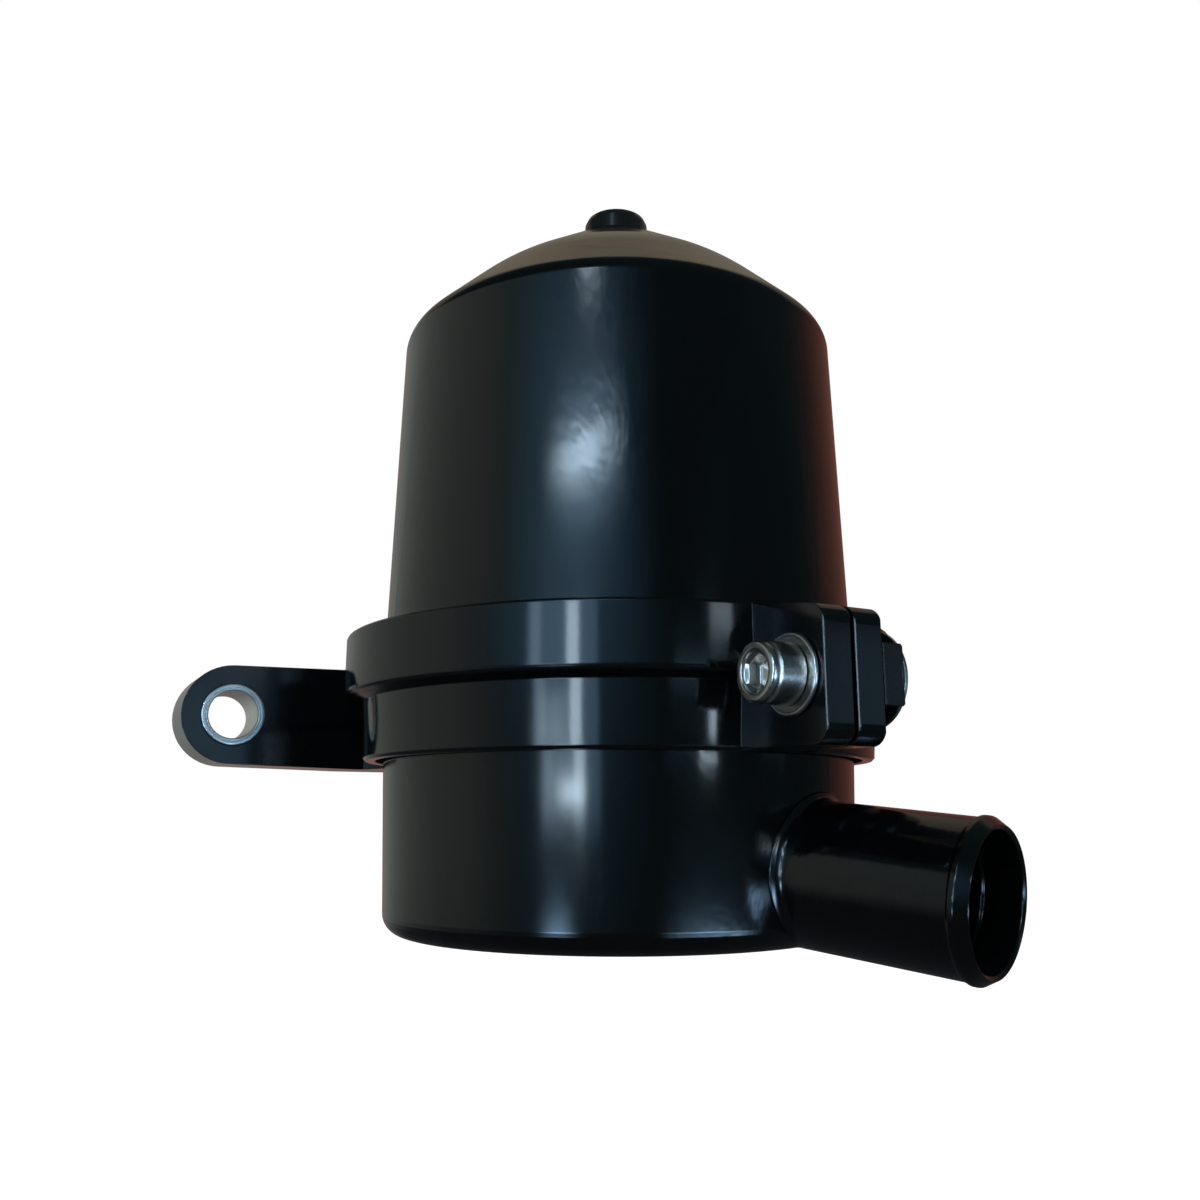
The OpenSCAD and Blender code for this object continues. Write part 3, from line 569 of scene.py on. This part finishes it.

# %% [markdown]
# Two coil springs work inside the bell: a large one presses the element down, and a
# small one holds the bypass poppet shut. Each is one round wire wound on a mandrel,
# with its end turns closed up so that they sit flat. So the wire is swept along its
# winding. On the real valve the small spring is held at its top and shortens as the
# poppet lifts; here it only gets a mesh of its own.

# %% Springs
SPRING_TURNS = 5


def coil_spring(name, node, wire):
    """A round wire of that radius wound inside a node's box, with its end turns closed up.

    With t from 0 to 1 along the wire, the height rises with t - k sin(2 pi t) / (2 pi),
    and k leaves the end turns a little more apart than the wire is thick. The section
    turns between an arrow straight out from the axis and one square to that and to the
    wire. Its radius is nothing at both ends, which closes them.
    """
    low, high = (np.array(corner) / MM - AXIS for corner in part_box(node))
    mean, rise = (high[0] - low[0]) / 2 - wire, high[2] - low[2] - 2 * wire
    k = 1 - 2.1 * wire * SPRING_TURNS / rise
    t = np.r_[0, np.linspace(0, 1, 48 * SPRING_TURNS + 1), 1]
    radius = wire * np.r_[0, np.ones(len(t) - 2), 0]
    a = 2 * np.pi * SPRING_TURNS * t
    height = low[2] + wire + rise * (t - k * np.sin(2 * np.pi * t) / (2 * np.pi))
    out = np.stack([np.cos(a), np.sin(a), 0 * a], -1)
    slope = rise * (1 - k * np.cos(2 * np.pi * t)) / (2 * np.pi * SPRING_TURNS * mean)
    ahead = np.stack([-np.sin(a), np.cos(a), slope], -1)
    beside = np.cross(ahead, out) / np.linalg.norm(ahead, axis=1, keepdims=True)
    turn = np.linspace(0, 2 * np.pi, 12, endpoint=False)[:, None]
    section = np.cos(turn) * out[:, None] + np.sin(turn) * beside[:, None]
    middle = mean * out + np.stack([0 * a, 0 * a, height], -1)
    return skin(name, middle[:, None] + radius[:, None, None] * section, node, "vessel", "spring_steel")


coil_spring("element_coil", "element_spring", 0.9)
bypass_coil = coil_spring("bypass_coil", "bypass_spring", 0.4)
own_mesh(bypass_coil)

# %% [markdown]
# Three effects are shared by all the metals, and each is a node group. Grain is the
# fine tooth that blasting and anodising leave. Smears are the soft patches that
# handling and wiping leave. Tool lines are the rings left by a lathe: noise that
# changes along the axis only, so it is taken on one number, the distance along it.

# %% Shared effects
def effect(name, inputs, outputs):
    """Starts a node group with number inputs (name: default) and number outputs."""
    group = bpy.data.node_groups.new(name, "ShaderNodeTree")
    for key, value in inputs.items():
        group.interface.new_socket(key, in_out="INPUT", socket_type="NodeSocketFloat").default_value = value
    for key in outputs:
        group.interface.new_socket(key, in_out="OUTPUT", socket_type="NodeSocketFloat")
    return group, group.nodes.new("NodeGroupInput").outputs, group.nodes.new("NodeGroupOutput").inputs


grain, given, result = effect("grain", {"Scale": 2200.0}, ["Height", "Tone"])
place = add(grain, "TexCoord").outputs["Object"]
fine = add(grain, "TexNoise", {"normalize": True}, Vector=place, Scale=given["Scale"], Detail=2.0,
           Roughness=0.6)
wide = add(grain, "TexNoise", {"normalize": True}, Vector=place, Scale=420.0, Detail=1.0)
grain.links.new(fine.outputs[0], result["Height"])
grain.links.new(wide.outputs[0], result["Tone"])

smears, given, result = effect("smears", {"Scale": 38.0, "Stretch": 0.35}, ["Mask"])
place = add(smears, "TexCoord").outputs["Object"]
flat_place = add(smears, "CombineXYZ", X=1.0, Y=1.0, Z=given["Stretch"])
drawn = add(smears, "VectorMath", {"operation": "MULTIPLY"}, _0=place, _1=flat_place.outputs[0])
soft = add(smears, "TexNoise", {"normalize": True}, Vector=drawn.outputs[0], Scale=given["Scale"],
           Detail=5.0, Roughness=0.55, Distortion=0.6)
mask = add(smears, "MapRange", {"interpolation_type": "SMOOTHSTEP"}, Value=soft.outputs[0],
           From_Min=0.44, From_Max=0.68)
smears.links.new(mask.outputs[0], result["Mask"])

lines, given, result = effect("tool_lines", {"Axis X": 0.0, "Axis Y": 0.0, "Axis Z": 1.0, "Scale": 1500.0},
                              ["Height"])
place = add(lines, "TexCoord").outputs["Object"]
axis = add(lines, "CombineXYZ", X=given["Axis X"], Y=given["Axis Y"], Z=given["Axis Z"])
along = add(lines, "VectorMath", {"operation": "DOT_PRODUCT"}, _0=place, _1=axis.outputs[0])
scaled = add(lines, "Math", {"operation": "MULTIPLY"}, _0=along.outputs["Value"], _1=given["Scale"])
rings = add(lines, "TexNoise", {"noise_dimensions": "1D", "normalize": True}, W=scaled.outputs[0],
            Scale=1.0, Detail=3.0, Roughness=0.6)
lines.links.new(rings.outputs[0], result["Height"])
print("effects:", grain.name, smears.name, lines.name)


def use(tree, group, **values):
    """Puts a shared effect into a material's tree."""
    node = tree.nodes.new("ShaderNodeGroup")
    node.node_tree = group
    for key, value in values.items():
        node.inputs[key.replace("_", " ")].default_value = value
    return node.outputs


# %% [markdown]
# Every metal here is the same recipe in other amounts: a colour that drifts a little
# between two tones, a roughness that the grain and the smears change, and a bump too
# low to see that breaks the mirror. The edges of the parts that come straight from
# the solids are rounded in the shading, by a fraction of a millimetre.

# %% Metals
GRAIN_DEPTH, TOOL_DEPTH = 0.00005, 0.00006     # m, before the strength


def metal(name, tones, metallic, roughness, smear=0.06, tooth=0.05, bump=0.02, coarse=2200.0,
          tool_axis=None, tool_bump=0.0, edge=0.0, wave=0.0):
    """A metal: two tones, roughness plus smear and tooth, grain and tool lines as bump, eased edges.

    Wave is the height in mm of slow swells, which make a streak of light uneven.
    """
    paint = bpy.data.materials.new(name)
    t = empty_tree(paint)
    g, s = use(t, grain, Scale=coarse), use(t, smears)
    colour = add(t, "MixRGB", Fac=s["Mask"], Color1=(*tones[0], 1), Color2=(*tones[1], 1))
    rough = add(t, "MapRange", Value=s["Mask"], To_Min=roughness, To_Max=roughness + smear)
    rough = add(t, "Math", {"operation": "MULTIPLY_ADD", "use_clamp": True}, _0=g["Tone"], _1=tooth,
                _2=rough.outputs[0])
    normal = {}
    if edge:
        normal = {"Normal": add(t, "Bevel", {"samples": 6}, Radius=edge * MM).outputs[0]}
    if wave:
        swell = add(t, "Bump", Height=s["Mask"], Strength=1.0, Distance=wave * MM, **normal)
        normal = {"Normal": swell.outputs[0]}
    if tool_axis is not None:
        x, y, z = (float(v) for v in tool_axis)
        turned_by = use(t, lines, Axis_X=x, Axis_Y=y, Axis_Z=z)
        cut = add(t, "Bump", Height=turned_by["Height"], Strength=tool_bump, Distance=TOOL_DEPTH, **normal)
        normal = {"Normal": cut.outputs[0]}
    normal = add(t, "Bump", Height=g["Height"], Strength=bump, Distance=GRAIN_DEPTH, **normal)
    skin_shader = add(t, "BsdfPrincipled", Base_Color=colour.outputs[0], Metallic=metallic,
                      Roughness=rough.outputs[0], Normal=normal.outputs[0])
    add(t, "OutputMaterial", Surface=skin_shader.outputs[0])
    return paint


def plain(name, tones, roughness, scale, bump, weave=0.0):
    """Rubber, paper and plastic: two tones mixed by a noise that also drives the bump."""
    paint = bpy.data.materials.new(name)
    t = empty_tree(paint)
    place = add(t, "TexCoord").outputs["Object"]
    spots = add(t, "TexNoise", {"normalize": True}, Vector=place, Scale=scale, Detail=4.0, Roughness=0.6)
    colour = add(t, "MixRGB", Fac=spots.outputs[0], Color1=(*tones[0], 1), Color2=(*tones[1], 1))
    rough = add(t, "MapRange", Value=spots.outputs[0], To_Min=roughness - 0.05, To_Max=roughness + 0.08)
    height = spots.outputs[0]
    if weave:
        threads = add(t, "TexWave", {"bands_direction": "Z"}, Vector=place, Scale=weave, Distortion=1.5,
                      Detail=1.0)
        height = add(t, "Math", {"operation": "ADD"}, _0=height, _1=threads.outputs["Fac"]).outputs[0]
    normal = add(t, "Bump", Height=height, Strength=bump, Distance=0.0001)
    shader = add(t, "BsdfPrincipled", Base_Color=colour.outputs[0], Roughness=rough.outputs[0],
                 Normal=normal.outputs[0])
    add(t, "OutputMaterial", Surface=shader.outputs[0])
    return paint


UP, ALONG_X, ALONG_Y = (0, 0, 1), (1, 0, 0), (0, 1, 0)
finishes = {
    "housing_black": metal("housing_black", ((0.0010, 0.0016, 0.0018), (0.0018, 0.0028, 0.0034)), 0.0, 0.10,
                           smear=0.04, tooth=0.03, bump=0.02, edge=0.3, wave=0.07),
    "ring_black": metal("ring_black", ((0.0010, 0.0018, 0.0022), (0.0020, 0.0032, 0.0040)), 0.0, 0.08,
                        smear=0.05, tooth=0.03, bump=0.04, edge=0.32),
    "bolt_steel": metal("bolt_steel", ((0.46, 0.43, 0.40), (0.54, 0.51, 0.47)), 1.0, 0.18,
                        smear=0.06, tooth=0.06, bump=0.02, tool_axis=ALONG_X, tool_bump=0.10),
    "bush_steel": metal("bush_steel", ((0.76, 0.75, 0.73), (0.83, 0.82, 0.80)), 1.0, 0.24,
                        smear=0.06, tooth=0.06, bump=0.02, tool_axis=ALONG_Y, tool_bump=0.15),
    "washer_steel": metal("washer_steel", ((0.42, 0.41, 0.39), (0.50, 0.49, 0.47)), 1.0, 0.26,
                          bump=0.05, edge=0.15),
    "nut_black": metal("nut_black", ((0.004, 0.005, 0.006), (0.007, 0.008, 0.010)), 0.0, 0.22,
                       bump=0.08, edge=0.5),
    "cap_black": metal("cap_black", ((0.008, 0.009, 0.009), (0.012, 0.013, 0.014)), 0.0, 0.12,
                       smear=0.05, bump=0.03, edge=0.6),
    "seal_rubber": plain("seal_rubber", ((0.016, 0.016, 0.017), (0.026, 0.026, 0.026)), 0.62, 900.0, 0.15),
    "breather_bronze": plain("breather_bronze", ((0.32, 0.22, 0.11), (0.55, 0.42, 0.24)), 0.55, 3200.0, 0.8),
    "tube_aluminium": metal("tube_aluminium", ((0.70, 0.71, 0.73), (0.76, 0.77, 0.78)), 1.0, 0.26,
                            tool_axis=UP, tool_bump=0.3, edge=0.2),
    "core_steel": metal("core_steel", ((0.58, 0.60, 0.62), (0.68, 0.69, 0.70)), 1.0, 0.32,
                        smear=0.12, bump=0.1, edge=0.15),
    "plate_steel": metal("plate_steel", ((0.66, 0.56, 0.34), (0.72, 0.66, 0.46)), 1.0, 0.30,
                         smear=0.15, bump=0.05, edge=0.2),
    "filter_paper": plain("filter_paper", ((0.72, 0.62, 0.40), (0.84, 0.76, 0.54)), 0.85, 1400.0, 0.5,
                          weave=600.0),
    "valve_brass": metal("valve_brass", ((0.66, 0.48, 0.20), (0.74, 0.58, 0.28)), 1.0, 0.20,
                         tool_axis=UP, tool_bump=0.3, edge=0.15),
    "spring_steel": metal("spring_steel", ((0.44, 0.45, 0.47), (0.55, 0.56, 0.58)), 1.0, 0.25,
                          smear=0.10, bump=0.08),
}

slot_of = {row["node"]: row["material_slot"] for row in frame["record"]["subparts"]}
for o in nodes.values():
    o.data.materials.clear()
    o.data.materials.append(finishes[slot_of[o.name]])
for o in bpy.data.objects:
    if "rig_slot" in o and o.name not in nodes:
        o.data.materials.clear()
        o.data.materials.append(finishes[o["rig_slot"]])
print(len(finishes), "finishes on", len(nodes), "nodes")
